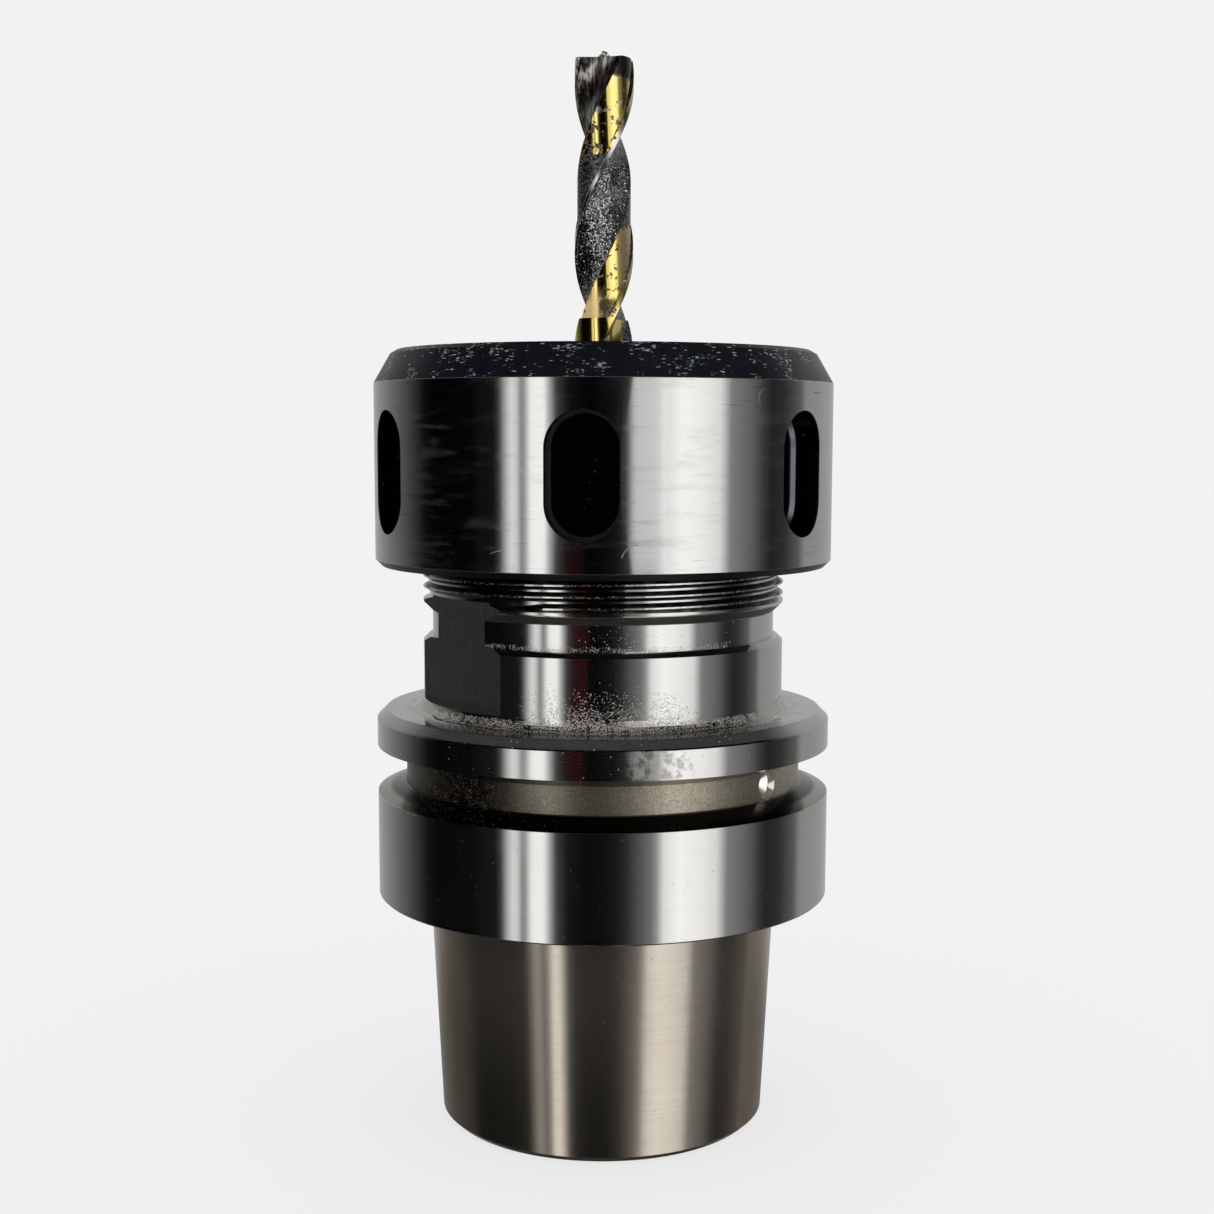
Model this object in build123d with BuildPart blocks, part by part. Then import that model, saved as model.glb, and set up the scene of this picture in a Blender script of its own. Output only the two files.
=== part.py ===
from build123d import *
import os
from math import cos, radians, sin, tan

os.makedirs("parts", exist_ok=True)

# Millimetres. The shank's end face lies on z = 0 and the cutter points up along +Z.

# Hollow taper shank, size 63
flange_dia = 63.0
flange_height = 26.0
shank_length = 32.0
face_width = 7.5
taper_dia = flange_dia - 2 * face_width
taper_drop = 6.3
taper_ratio = 9.98
shank_end_break = 0.8
face_relief_depth = 0.35
face_relief_height = 1.2
face_break = 0.2
edge_break = 0.5

# Clamping cavity inside the shank
shank_wall = 7.0
cavity_mouth_dia = taper_dia - 2 * shank_wall
cavity_mouth_chamfer = 1.0
cavity_shoulder_z = 9.5
cavity_shoulder_angle = 30.0
cavity_undercut = 1.5
cavity_groove_dia = cavity_mouth_dia + 2 * cavity_undercut
cavity_groove_top = 20.5
cavity_floor_step = 2.0
cavity_floor_dia = cavity_mouth_dia - 2 * cavity_floor_step
cavity_floor_z = 29.0
coolant_step = 6.8
coolant_bore_dia = cavity_floor_dia - 2 * coolant_step

# Gripper groove round the flange and the small drilled mark in its floor
groove_centre = 17.7
groove_mouth = 6.6
groove_floor_width = 3.7
groove_depth = 4.0
groove_floor_dia = flange_dia - 2 * groove_depth
flange_chamfer = 1.3
mark_dia = 3.9
mark_depth = 1.2
mark_angle = -33.0
drill_point_angle = 118.0

# Neck, thread relief and thread
flange_rim = 6.5
neck_dia = flange_dia - 2 * flange_rim
neck_blend = 1.5
neck_blend_steps = 3
neck_length = 10.15
neck_break = 0.7
relief_depth = 1.3
relief_dia = neck_dia - 2 * relief_depth
relief_length = 3.4
thread_dia = neck_dia
thread_pitch = 1.5
thread_depth = 0.92
thread_crest = 0.35
flat_depth = 2.1
flat_across = neck_dia - 2 * flat_depth
flat_height = 16.0
flat_angle = 39.3

# Spring collet, size 40, and the seat that it is pressed into
gauge_length = 75.0
nose_drop = 11.6
nose_step = 2.4
nose_dia = thread_dia - 2 * nose_step
nose_length = 1.8
nose_wall = 5.0
seat_dia = thread_dia - 2 * nose_wall
seat_half_angle = 8.0
seat_clearance = 0.06
bore_step = 7.0
tool_bore_dia = seat_dia - 2 * bore_step
tool_bore_end = 44.0
collet_length = 46.0
collet_inset = 0.6
collet_collar_step = 0.5
collet_collar_dia = seat_dia + 2 * collet_collar_step
collet_collar_height = 1.5
collet_face_step = 3.9
collet_face_dia = collet_collar_dia - 2 * collet_face_step
collet_groove_depth = 2.1
collet_groove_dia = collet_collar_dia - 2 * collet_groove_depth
collet_groove_width = 3.1
collet_front_half_angle = 30.0
collet_bore_length = 28.0
collet_bore_relief = 1.5
collet_slit_count = 8
collet_slit_width = 0.8
collet_slit_web = 7.0
collet_front_web = 4.6

# Clamping nut
nut_dia = flange_dia
nut_height = 29.2
nut_front_height = 4.45
nut_front_half_angle = 30.0
nut_edge_break = 0.9
nut_face_break = 0.6
nut_lip = 3.45
nut_mouth_dia = thread_dia - 2 * nut_lip
nut_mouth_chamfer = 0.5
thread_clearance = 0.08
pocket_count = 6
pocket_width = 9.5
pocket_height = 16.3
pocket_depth = 4.4
pocket_bottom = 4.7
pocket_floor_break = 0.5

# Thrust bearing inside the nut
ball_count = 12
ball_dia = 2.0
ball_sides = 8
ball_circle_inset = 2.15
ball_circle_dia = thread_dia - 2 * ball_circle_inset
race_play = 0.05
cage_thickness = 0.9
cage_play = 0.3
cage_pocket_play = 0.1
ring_step = 0.9
ring_dia = thread_dia - 2 * ring_step
ring_lift = 0.8
ring_fit = 0.1
sleeve_gap = 0.4
ring_flange = 4.6
lip_height = 1.8
lip_play = 1.7
lip_opening_dia = collet_groove_dia + 2 * lip_play
lip_offset = 0.9
ring_bore_clearance = 0.25
cone_clearance = 0.03
clip_thickness = 1.0
clip_width = 1.9
clip_seat = 0.8
clip_play = 0.1
clip_opening = 24.0

# Two-flute slot cutter
cutter_dia = 8.0
cutter_reach = 38.95
cutter_shank_in = 36.9
cutter_lead = 45.1
cutter_edge_angle = 4.8
cutter_edge_drop = 26.1
relief_reach = 34.6
flute_reach = 44.0
web_ratio = 0.49
land_ratio = 0.91
flute_span = 101.0
web_angle = 48.0
land_span = 66.0
flute_overcut = 1.3
point_height = 1.1
point_length = 1.9
point_width = 1.35
point_taper = 30.0

# Heights that follow from the sizes above
flange_top = shank_length + flange_height
groove_z = shank_length + groove_centre
shoulder_z = flange_top + neck_length
relief_top = shoulder_z + relief_length
nut_top = shank_length + gauge_length
nut_bottom = nut_top - nut_height
nose_z = nut_top - nose_drop
collet_top = nut_top - collet_inset
collet_tail = collet_top - collet_length
cutter_top = nut_top + cutter_reach


def taper_radius(z):
    """Radius of the shank's outer taper at a height."""
    return taper_dia / 2 + (z - (shank_length - taper_drop)) / (2 * taper_ratio)


def seat_radius(z):
    """Radius of the collet seat at a height."""
    return seat_dia / 2 - (nose_z - z) * tan(radians(seat_half_angle))


def polar(radius, angle):
    """Point on the XY plane from a radius and an angle in degrees."""
    return (radius * cos(radians(angle)), radius * sin(radians(angle)))


def rim(solid, radius, z):
    """Circular edges of a turned solid at one radius and height."""
    near = 0.02
    rounds = solid.edges().filter_by(GeomType.CIRCLE)
    return [e for e in rounds if abs(e.radius - radius) < near and abs(e.arc_center.Z - z) < near]


def lies_in(edge, plane, reach):
    """Tells whether an edge lies in a plane, no farther than a reach from the plane's origin."""
    near = 0.02
    points = [edge @ 0, edge @ 0.5, edge @ 1]
    level = all(abs(plane.to_local_coords(point).Z) < near for point in points)
    return level and all((point - plane.origin).length < reach for point in points)


# Holder body: shank, flange, neck, thread core and nose turned from one bar
flange_r = flange_dia / 2
neck_r = neck_dia / 2
relief_r = relief_dia / 2
core_r = thread_dia / 2 - thread_depth
face_relief_r = taper_radius(shank_length) - face_relief_depth
seat_floor = nose_z - (collet_length - nose_drop + collet_inset + edge_break)
shoulder_rise = (cavity_groove_dia - cavity_mouth_dia) / 2 / tan(radians(cavity_shoulder_angle))
cavity_cone = (cavity_groove_dia - cavity_floor_dia) / 2
drill_rise = (tool_bore_dia - coolant_bore_dia) / 2 / tan(radians(drill_point_angle / 2))
cone_rise = thread_dia / 2 - relief_r
crest_top = relief_top + cone_rise + thread_crest
nose_bottom = nose_z - nose_length
thread_end = nose_bottom - (core_r - nose_dia / 2)
blend_turns = [90 / neck_blend_steps * (neck_blend_steps - step) for step in range(neck_blend_steps + 1)]
blend_points = [
    (neck_r + neck_blend * (1 - cos(radians(turn))), flange_top + neck_blend * (1 - sin(radians(turn))))
    for turn in blend_turns
]

with BuildPart() as holder_body:
    with BuildSketch(Plane.XZ):
        with BuildLine():
            Polyline(
                (taper_radius(0), 0),
                (taper_radius(shank_length - face_relief_height), shank_length - face_relief_height),
                (face_relief_r, shank_length - face_relief_height + face_relief_depth),
                (face_relief_r, shank_length),
                (flange_r, shank_length),
                (flange_r, groove_z - groove_mouth / 2),
                (groove_floor_dia / 2, groove_z - groove_floor_width / 2),
                (groove_floor_dia / 2, groove_z + groove_floor_width / 2),
                (flange_r, groove_z + groove_mouth / 2),
                (flange_r, flange_top),
                *blend_points,
                (neck_r, shoulder_z),
                (relief_r, shoulder_z),
                (relief_r, relief_top),
                (thread_dia / 2, relief_top + cone_rise),
                (thread_dia / 2, crest_top),
                (core_r, crest_top + thread_depth / 2),
                (core_r, thread_end),
                (nose_dia / 2, nose_bottom),
                (nose_dia / 2, nose_z),
                (seat_dia / 2, nose_z),
                (seat_radius(seat_floor), seat_floor),
                (tool_bore_dia / 2, seat_floor),
                (tool_bore_dia / 2, tool_bore_end),
                (coolant_bore_dia / 2, tool_bore_end - drill_rise),
                (coolant_bore_dia / 2, cavity_floor_z),
                (cavity_floor_dia / 2, cavity_floor_z),
                (cavity_floor_dia / 2, cavity_groove_top + cavity_cone),
                (cavity_groove_dia / 2, cavity_groove_top),
                (cavity_groove_dia / 2, cavity_shoulder_z + shoulder_rise),
                (cavity_mouth_dia / 2, cavity_shoulder_z),
                (cavity_mouth_dia / 2, cavity_mouth_chamfer),
                (cavity_mouth_dia / 2 + cavity_mouth_chamfer, 0),
                close=True,
            )
        make_face()
    revolve(axis=Axis.Z)
    chamfer(rim(holder_body, taper_radius(0), 0), shank_end_break)
    chamfer(rim(holder_body, neck_r, shoulder_z), neck_break)
    chamfer(rim(holder_body, flange_r, flange_top), flange_chamfer)
    chamfer(rim(holder_body, flange_r, shank_length), face_break)
    chamfer(rim(holder_body, nose_dia / 2, nose_z), edge_break)
    # Spanner flats across the neck, the relief and the first threads
    with BuildSketch(Plane.XY.offset(flange_top + neck_blend)):
        with PolarLocations(flat_across / 2 + neck_r, 2, start_angle=flat_angle):
            Rectangle(neck_dia, neck_dia)
    extrude(amount=flat_height - neck_blend, mode=Mode.SUBTRACT)
    # Drilled mark in the floor of the gripper groove
    mark_out = Vector(*polar(1, mark_angle), 0)
    mark_at = mark_out * (groove_floor_dia / 2 - mark_depth) + Vector(0, 0, groove_z)
    mark_plane = Plane(origin=mark_at, x_dir=(0, 0, 1), z_dir=mark_out)
    with BuildSketch(mark_plane):
        Circle(mark_dia / 2)
    extrude(amount=flange_dia / 4, mode=Mode.SUBTRACT)
    with Locations(mark_plane.location * Location((0, 0, 0), (180, 0, 0))):
        Cone(
            bottom_radius=mark_dia / 2,
            top_radius=0,
            height=mark_dia / 2 / tan(radians(drill_point_angle / 2)),
            align=(Align.CENTER, Align.CENTER, Align.MIN),
            mode=Mode.SUBTRACT,
        )
holder_body.part.label = "holder_body"
export_step(holder_body.part, "parts/holder_body.step")

# Thrust bearing heights, from the collet's front cone upwards
front_tan = tan(radians(collet_front_half_angle))
collar_top = collet_top - (collet_collar_dia - collet_face_dia) / 2 / front_tan
collar_bottom = collar_top - collet_collar_height
groove_bottom = collar_bottom - collet_groove_width
ring_bottom = groove_bottom + ring_lift
ring_shoulder = ring_bottom + ring_flange
ball_z = ring_shoulder + race_play + ball_dia / 2
nut_shoulder = ball_z + ball_dia / 2 + race_play
ball_circle_r = ball_circle_dia / 2
sleeve_r = nut_mouth_dia / 2 - sleeve_gap
chamber_r = ring_dia / 2 + ring_fit
clip_bottom = ring_bottom - clip_play - clip_thickness
clip_groove_r = chamber_r + clip_seat
nut_r = nut_dia / 2
bore_r = thread_dia / 2 + thread_clearance
bore_top = clip_bottom - clip_thickness
face_r = nut_r - nut_front_height * tan(radians(nut_front_half_angle))

# Clamping nut: threaded ring with six spanner pockets and the upper ball race
with BuildPart() as clamping_nut:
    with BuildSketch(Plane.XZ):
        with BuildLine():
            Polyline(
                (nut_r, nut_bottom),
                (nut_r, nut_top - nut_front_height),
                (face_r, nut_top),
                (nut_mouth_dia / 2 + nut_mouth_chamfer, nut_top),
                (nut_mouth_dia / 2, nut_top - nut_mouth_chamfer),
                (nut_mouth_dia / 2, nut_shoulder),
                (chamber_r, nut_shoulder),
                (chamber_r, clip_bottom + clip_thickness + clip_play / 2),
                (clip_groove_r, clip_bottom + clip_thickness + clip_play / 2),
                (clip_groove_r, clip_bottom - clip_play / 2),
                (chamber_r, clip_bottom - clip_play / 2),
                (chamber_r, bore_top),
                (bore_r, bore_top - (bore_r - chamber_r)),
                (bore_r, nut_bottom + thread_pitch / 2),
                (bore_r + thread_pitch / 2, nut_bottom),
                close=True,
            )
        make_face()
    revolve(axis=Axis.Z)
    chamfer(rim(clamping_nut, nut_r, nut_bottom), nut_edge_break)
    chamfer(rim(clamping_nut, face_r, nut_top), nut_face_break)
    # Round-ended pockets for the hook spanner, with a sloped edge round the floor
    for pocket in range(pocket_count):
        out = Vector(*polar(1, 360 / pocket_count * pocket - 90), 0)
        middle = nut_bottom + pocket_bottom + pocket_height / 2
        pocket_at = out * (nut_r - pocket_depth) + Vector(0, 0, middle)
        pocket_plane = Plane(origin=pocket_at, x_dir=(0, 0, 1), z_dir=out)
        with BuildSketch(pocket_plane):
            SlotOverall(pocket_height, pocket_width)
        extrude(amount=nut_r, mode=Mode.SUBTRACT)
        floor_edges = [e for e in clamping_nut.edges() if lies_in(e, pocket_plane, pocket_height)]
        chamfer(floor_edges, pocket_floor_break)
clamping_nut.part.label = "clamping_nut"
export_step(clamping_nut.part, "parts/clamping_nut.step")

# Thrust ring: 30 degree cone on the collet, lower ball race, off-centre lip that pulls the collet out
lip_top = ring_bottom + lip_height
ring_bore_r = collet_collar_dia / 2 + ring_bore_clearance
ring_top = nut_top - collet_inset / 2
cone_bottom_z = collar_top - (ring_bore_r - collet_collar_dia / 2 - cone_clearance) / front_tan
cone_top_r = ring_bore_r - (ring_top - cone_bottom_z) * front_tan

with BuildPart() as thrust_ring:
    with BuildSketch(Plane.XZ):
        with BuildLine():
            Polyline(
                (collet_groove_dia / 2, ring_bottom),
                (ring_dia / 2, ring_bottom),
                (ring_dia / 2, ring_shoulder),
                (sleeve_r, ring_shoulder),
                (sleeve_r, ring_top),
                (cone_top_r, ring_top),
                (ring_bore_r, cone_bottom_z),
                (ring_bore_r, lip_top),
                (collet_groove_dia / 2, lip_top),
                close=True,
            )
        make_face()
    revolve(axis=Axis.Z)
    with BuildSketch(Plane.XY.offset(ring_bottom)):
        with Locations((lip_offset, 0)):
            Circle(lip_opening_dia / 2)
    extrude(amount=lip_height, mode=Mode.SUBTRACT)
thrust_ring.part.label = "thrust_ring"
export_step(thrust_ring.part, "parts/thrust_ring.step")

# Bearing balls, one solid each, evenly round the race, with flat facets that touch the races
ball_r = ball_dia / 2
for number in range(ball_count):
    centre = Vector(*polar(ball_circle_r, 360 / ball_count * (number + 0.5)), ball_z)
    with BuildPart() as ball:
        for axis in (Vector(0, 0, 1), Vector(1, 0, 0), Vector(0, 1, 0)):
            with BuildSketch(Plane(origin=centre, z_dir=axis)):
                RegularPolygon(ball_r, ball_sides, major_radius=False, rotation=180 / ball_sides)
            extrude(amount=ball_r, both=True, mode=Mode.INTERSECT if ball.part else Mode.ADD)
    ball.part.label = f"ball_{number + 1:02d}"
    export_step(ball.part, f"parts/ball_{number + 1:02d}.step")

# Ball cage: flat ring with a hole for each ball
with BuildPart() as ball_cage:
    with BuildSketch(Plane.XY.offset(ball_z - cage_thickness / 2)):
        Circle(chamber_r - cage_play)
        Circle(sleeve_r + cage_play, mode=Mode.SUBTRACT)
        with PolarLocations(ball_circle_r, ball_count, start_angle=180 / ball_count):
            RegularPolygon(ball_r + cage_pocket_play, ball_sides, major_radius=False, mode=Mode.SUBTRACT)
    extrude(amount=cage_thickness)
ball_cage.part.label = "ball_cage"
export_step(ball_cage.part, "parts/ball_cage.step")

# Retaining clip: open flat spring ring in the nut's groove, under the thrust ring
clip_r = clip_groove_r - clip_play
with BuildPart() as retaining_clip:
    with BuildSketch(Plane.XY.offset(clip_bottom)):
        Circle(clip_r)
        Circle(clip_r - clip_width, mode=Mode.SUBTRACT)
        with BuildLine():
            Line((0, 0), polar(nut_r, -clip_opening / 2))
            RadiusArc(polar(nut_r, -clip_opening / 2), polar(nut_r, clip_opening / 2), -nut_r)
            Line(polar(nut_r, clip_opening / 2), (0, 0))
        make_face(mode=Mode.SUBTRACT)
    extrude(amount=clip_thickness)
retaining_clip.part.label = "retaining_clip"
export_step(retaining_clip.part, "parts/retaining_clip.step")

# Collet: double cone slit from both ends in turn, so that it closes evenly on the shank
collet_seat_top = seat_radius(groove_bottom) - seat_clearance
bore_bottom = collet_top - collet_bore_length
collet_relief_r = cutter_dia / 2 + collet_bore_relief
with BuildPart() as collet:
    with BuildSketch(Plane.XZ):
        with BuildLine():
            Polyline(
                (cutter_dia / 2, collet_top),
                (collet_face_dia / 2, collet_top),
                (collet_collar_dia / 2, collar_top),
                (collet_collar_dia / 2, collar_bottom),
                (collet_groove_dia / 2, collar_bottom),
                (collet_groove_dia / 2, groove_bottom),
                (collet_seat_top, groove_bottom),
                (seat_radius(collet_tail) - seat_clearance, collet_tail),
                (collet_relief_r, collet_tail),
                (collet_relief_r, bore_bottom),
                (cutter_dia / 2, bore_bottom),
                close=True,
            )
        make_face()
    revolve(axis=Axis.Z)
    chamfer(rim(collet, collet_face_dia / 2, collet_top), edge_break / 2)
    slit_step = 360 / collet_slit_count
    with BuildSketch(Plane.XY.offset(collet_tail + collet_slit_web)):
        with PolarLocations(collet_collar_dia / 2, collet_slit_count, start_angle=slit_step / 2):
            Rectangle(collet_collar_dia, collet_slit_width)
    extrude(amount=collet_length, mode=Mode.SUBTRACT)
    with BuildSketch(Plane.XY.offset(collet_top - collet_front_web)):
        with PolarLocations(collet_collar_dia / 2, collet_slit_count, start_angle=0):
            Rectangle(collet_collar_dia, collet_slit_width)
    extrude(amount=-collet_length, mode=Mode.SUBTRACT)
collet.part.label = "collet"
export_step(collet.part, "parts/collet.step")


def helix_angle(z):
    """Angle of the first cutting edge at a height."""
    return cutter_edge_angle + 360 / cutter_lead * (z - (cutter_top - cutter_edge_drop))


def twisted(face, low, high):
    """Solid that a flat face sweeps as it rises and turns with the right-hand helix."""
    start = face.rotate(Axis.Z, helix_angle(low)).moved(Location((0, 0, low)))
    rise = (0, 0, high - low)
    turn = helix_angle(high) - helix_angle(low)
    return Solid.extrude_linear_with_rotation(start, (0, 0, low), rise, turn)


# Faces that are drawn along the helix: the space of one flute and the bar of one margin
edge_r = cutter_dia / 2
land_r = edge_r * land_ratio
outside = edge_r * flute_overcut
relief_low = cutter_top - relief_reach
flute_low = cutter_top - flute_reach
shank_low = nut_top - cutter_shank_in
margin_start = flute_span + land_span - 180

with BuildSketch() as flute_face:
    with BuildLine():
        Line(polar(outside, 0), polar(edge_r, 0))
        ThreePointArc(polar(edge_r, 0), polar(edge_r * web_ratio, web_angle), polar(land_r, flute_span))
        Line(polar(land_r, flute_span), polar(outside, flute_span))
        RadiusArc(polar(outside, flute_span), polar(outside, 0), outside)
    make_face()

with BuildSketch() as margin_face:
    with BuildLine():
        Line(polar(edge_r / 2, 0), polar(outside, 0))
        RadiusArc(polar(outside, 0), polar(outside, margin_start), outside)
        Line(polar(outside, margin_start), polar(edge_r / 2, margin_start))
        Line(polar(edge_r / 2, margin_start), polar(edge_r / 2, 0))
    make_face()

# Margins: two narrow helical bars, brought to the cutter's full size
with BuildPart() as margins:
    for turn in (0, 180):
        add(twisted(margin_face.sketch.face().rotate(Axis.Z, turn), relief_low, cutter_top))
    with Locations((0, 0, relief_low)):
        Cylinder(
            edge_r,
            cutter_top - relief_low,
            align=(Align.CENTER, Align.CENTER, Align.MIN),
            mode=Mode.INTERSECT,
        )

# Cutter: plain shank, relieved lands with margins, two flutes and a raised centre point
with BuildPart() as cutter:
    with BuildSketch(Plane.XY.offset(shank_low)):
        Circle(edge_r)
    extrude(amount=relief_low - shank_low)
    with BuildSketch(Plane.XY.offset(relief_low)):
        Circle(land_r)
    extrude(amount=cutter_top - relief_low)
    add(margins.part)
    for turn in (0, 180):
        flute_start = flute_face.sketch.face().rotate(Axis.Z, turn)
        add(twisted(flute_start, flute_low, cutter_top + edge_break), mode=Mode.SUBTRACT)
    with BuildSketch(Plane.XY.offset(cutter_top)):
        Rectangle(point_length, point_width, rotation=helix_angle(cutter_top))
    extrude(amount=point_height, taper=point_taper)
cutter.part.label = "cutter"
export_step(cutter.part, "parts/cutter.step")
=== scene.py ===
"""Dresses a collet chuck with a hollow taper shank.

Makes its two threads, its metal finishes with their wear and dirt, the studio and the camera."""

import math

import bpy
import numpy as np
from mathutils import Matrix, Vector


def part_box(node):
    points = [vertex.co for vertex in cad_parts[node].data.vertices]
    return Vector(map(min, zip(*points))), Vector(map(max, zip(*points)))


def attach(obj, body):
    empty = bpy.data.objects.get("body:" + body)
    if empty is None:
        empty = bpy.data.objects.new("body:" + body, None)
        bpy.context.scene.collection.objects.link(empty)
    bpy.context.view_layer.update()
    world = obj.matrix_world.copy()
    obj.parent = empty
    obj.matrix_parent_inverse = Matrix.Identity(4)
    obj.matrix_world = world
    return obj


bl_info = {
    "name": "Collet chuck",
    "version": (1, 0, 0),
    "blender": (4, 5, 0),
    "location": "View3D > Sidebar > Collet chuck",
    "description": "Threads, finishes and studio for a collet chuck with a hollow taper shank",
    "category": "Object",
}

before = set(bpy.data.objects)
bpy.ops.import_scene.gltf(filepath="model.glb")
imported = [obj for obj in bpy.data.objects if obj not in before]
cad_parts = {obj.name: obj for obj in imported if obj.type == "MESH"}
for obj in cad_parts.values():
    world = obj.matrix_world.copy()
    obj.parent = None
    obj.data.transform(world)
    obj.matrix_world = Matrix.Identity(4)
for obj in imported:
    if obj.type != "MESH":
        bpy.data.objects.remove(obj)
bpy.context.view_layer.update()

MM = 0.001
FULL_TURN = 2 * math.pi

# Heights and radii of the solids, in millimetres, that the finishes and threads follow
NUT_LOW, NUT_HIGH = [[value / MM for value in corner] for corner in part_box("clamping_nut")]
NUT_BOTTOM = NUT_LOW[2]
NUT_TOP = NUT_HIGH[2]
RIM_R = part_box("holder_body")[1][0] / MM
CUTTER_HIGH = [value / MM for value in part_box("cutter")[1]]
CUTTER_R = CUTTER_HIGH[0]
CUTTER_TOP = CUTTER_HIGH[2]
FACE_Z = 32.0
FLANGE_TOP_Z = 58.0
SHOULDER_Z = 68.15
RELIEF_TOP_Z = 71.55
NECK_R = 25.0
BORE_WALL_R = 21.5
GROOVE_Z = 49.7
GROOVE_HALF = 3.3
GROOVE_FLOOR_R = 27.5
POCKET_FLOOR = 27.1
POCKET_LOW = NUT_BOTTOM + 4.2
POCKET_HIGH = NUT_BOTTOM + 21.5

# The spanner flats: their distance from the axis and the way that they face
FLAT_OUT = 22.9
FLAT_TURN = 39.3
FLAT_WAY = (math.cos(math.radians(FLAT_TURN)), math.sin(math.radians(FLAT_TURN)), 0.0)

# The cutter: its lands, its raised point, where the ground lands begin, and its helix
LAND_R = CUTTER_R * 0.91
POINT_Z = CUTTER_TOP - 1.1
GROUND_Z = POINT_Z - 34.6
HALF_LEAD = 45.1 / 2
# One flute's leading edge passes this many degrees from the x axis, so far below the foot of the point
EDGE_TURN = 4.8
EDGE_DROP = 26.1
# Half turns from that edge to the x axis, at height nought
EDGE_SHARE = (POINT_Z - EDGE_DROP) / HALF_LEAD - EDGE_TURN / 180

# The camera stands this many degrees to the right of the -Y axis
VIEW_TURN = 4.8


def linear(code):
    """Linear red, green, blue and alpha of an sRGB hex colour."""
    parts = np.array([int(code[at : at + 2], 16) for at in (1, 3, 5)]) / 255
    bright = np.where(parts <= 0.04045, parts / 12.92, ((parts + 0.055) / 1.055) ** 2.4)
    return (*bright.tolist(), 1.0)


def grey(level):
    """Linear grey of an sRGB level from 0 to 255."""
    return linear("#" + 3 * f"{int(level):02x}")


def colour(name, code, words):
    """Colour property whose default is an sRGB hex colour."""
    return bpy.props.FloatVectorProperty(
        name=name, description=words, subtype="COLOR", size=4, min=0, max=1, default=linear(code)
    )


def length(name, value, words):
    """Length property with a default in millimetres."""
    return bpy.props.FloatProperty(
        name=name, description=words, subtype="DISTANCE", unit="LENGTH", default=value * MM
    )


def angle(name, value, words):
    """Angle property with a default in degrees."""
    return bpy.props.FloatProperty(name=name, description=words, subtype="ANGLE", default=math.radians(value))


class ChuckThread(bpy.types.PropertyGroup):
    """Sizes of the clamping thread."""

    pitch: length("Pitch", 1.5, "Rise of the thread in one turn")
    crest_radius: length("Crest radius", NECK_R, "Radius of the outside thread's crest")
    root_radius: length("Root radius", 24.08, "Radius of the outside thread's root")
    start: length("Start", 73.62, "Height where the outside thread starts")
    start_turn: angle("Start angle", 245.0, "Direction where the outside thread starts")
    end: length("End", 91.9, "Height where the outside thread runs out")
    play: length("Play", 0.08, "Gap between the two threads")
    flat_across: length("Flats", 2 * FLAT_OUT, "Distance across the spanner flats")
    flat_top: length("Flat top", 74.0, "Height to which the spanner flats reach")
    flat_turn: angle("Flat angle", FLAT_TURN, "Direction that the spanner flats face")


class ChuckFinish(bpy.types.PropertyGroup):
    """Colours of the metals and of what sticks to them."""

    steel: colour("Ground steel", "#D3D2D0", "Ground steel of the neck, the flange and the nut")
    taper: colour("Taper steel", "#CBC5B9", "Lapped steel of the taper, with an oil stain")
    groove: colour("Groove steel", "#CDC3AE", "Turned steel in the gripper groove")
    oxide: colour("Black oxide", "#06080D", "Blackened faces of the nut")
    worn: colour("Worn oxide", "#A0A6AC", "Bare specks in the black")
    gold: colour("Nitride", "#F3D986", "Titanium nitride on the cutter")
    gum: colour("Burnt gum", "#1E1E20", "Burnt resin in the flutes")
    dust: colour("Dried coolant", "#D2CDC2", "Pale crumbs in the corners")
    rust: colour("Rust", "#5A4A38", "Brown crumbs and stains")


class ChuckStudio(bpy.types.PropertyGroup):
    """Camera and backdrop."""

    distance: length("Distance", 249.06, "Camera's distance from the axis")
    height: length("Height", 95.8, "Camera's height above the floor")
    turn: angle("Turn", VIEW_TURN, "Camera's angle round the axis")
    tilt: angle("Tilt", 6.75, "Camera's angle below the horizon")
    pan: angle("Pan", 0.128, "Camera's turn to the right of the axis")
    roll: angle("Roll", 0.144, "Camera's turn about its own view")
    lens: bpy.props.FloatProperty(
        name="Lens", description="Focal length", subtype="DISTANCE_CAMERA", default=53.0
    )
    rise: bpy.props.FloatProperty(
        name="Rise", description="Shift of the picture, in its widths", default=0.0313
    )
    backdrop: colour("Backdrop", "#F2F2F2", "Floor and background")


def put(tree, kind, inputs=None, stops=None, **settings):
    """Adds one node with its properties and its ramp, and fills its inputs with values or other outputs."""
    made = tree.nodes.new("ShaderNode" + kind)
    for name, value in settings.items():
        setattr(made, name, value)
    for key, value in (inputs or {}).items():
        if isinstance(value, bpy.types.NodeSocket):
            tree.links.new(value, made.inputs[key])
        else:
            made.inputs[key].default_value = value
    if stops:
        ramp = made.color_ramp.elements
        ramp[0].position, ramp[0].color = stops[0]
        ramp[1].position, ramp[1].color = stops[-1]
        for at, shade in stops[1:-1]:
            ramp.new(at).color = shade
    return made


def start_material(name):
    """New material with its node tree and its shader."""
    made = bpy.data.materials.new(name)
    made.use_nodes = True
    made.node_tree.nodes.clear()
    shader = put(made.node_tree, "BsdfPrincipled")
    put(made.node_tree, "OutputMaterial", {"Surface": shader.outputs[0]})
    return made, made.node_tree, shader


def in_mm(tree):
    """Object coordinates in millimetres."""
    spot = put(tree, "TexCoord").outputs["Object"]
    return put(tree, "VectorMath", {0: spot, "Scale": 1 / MM}, operation="SCALE").outputs[0]


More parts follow.
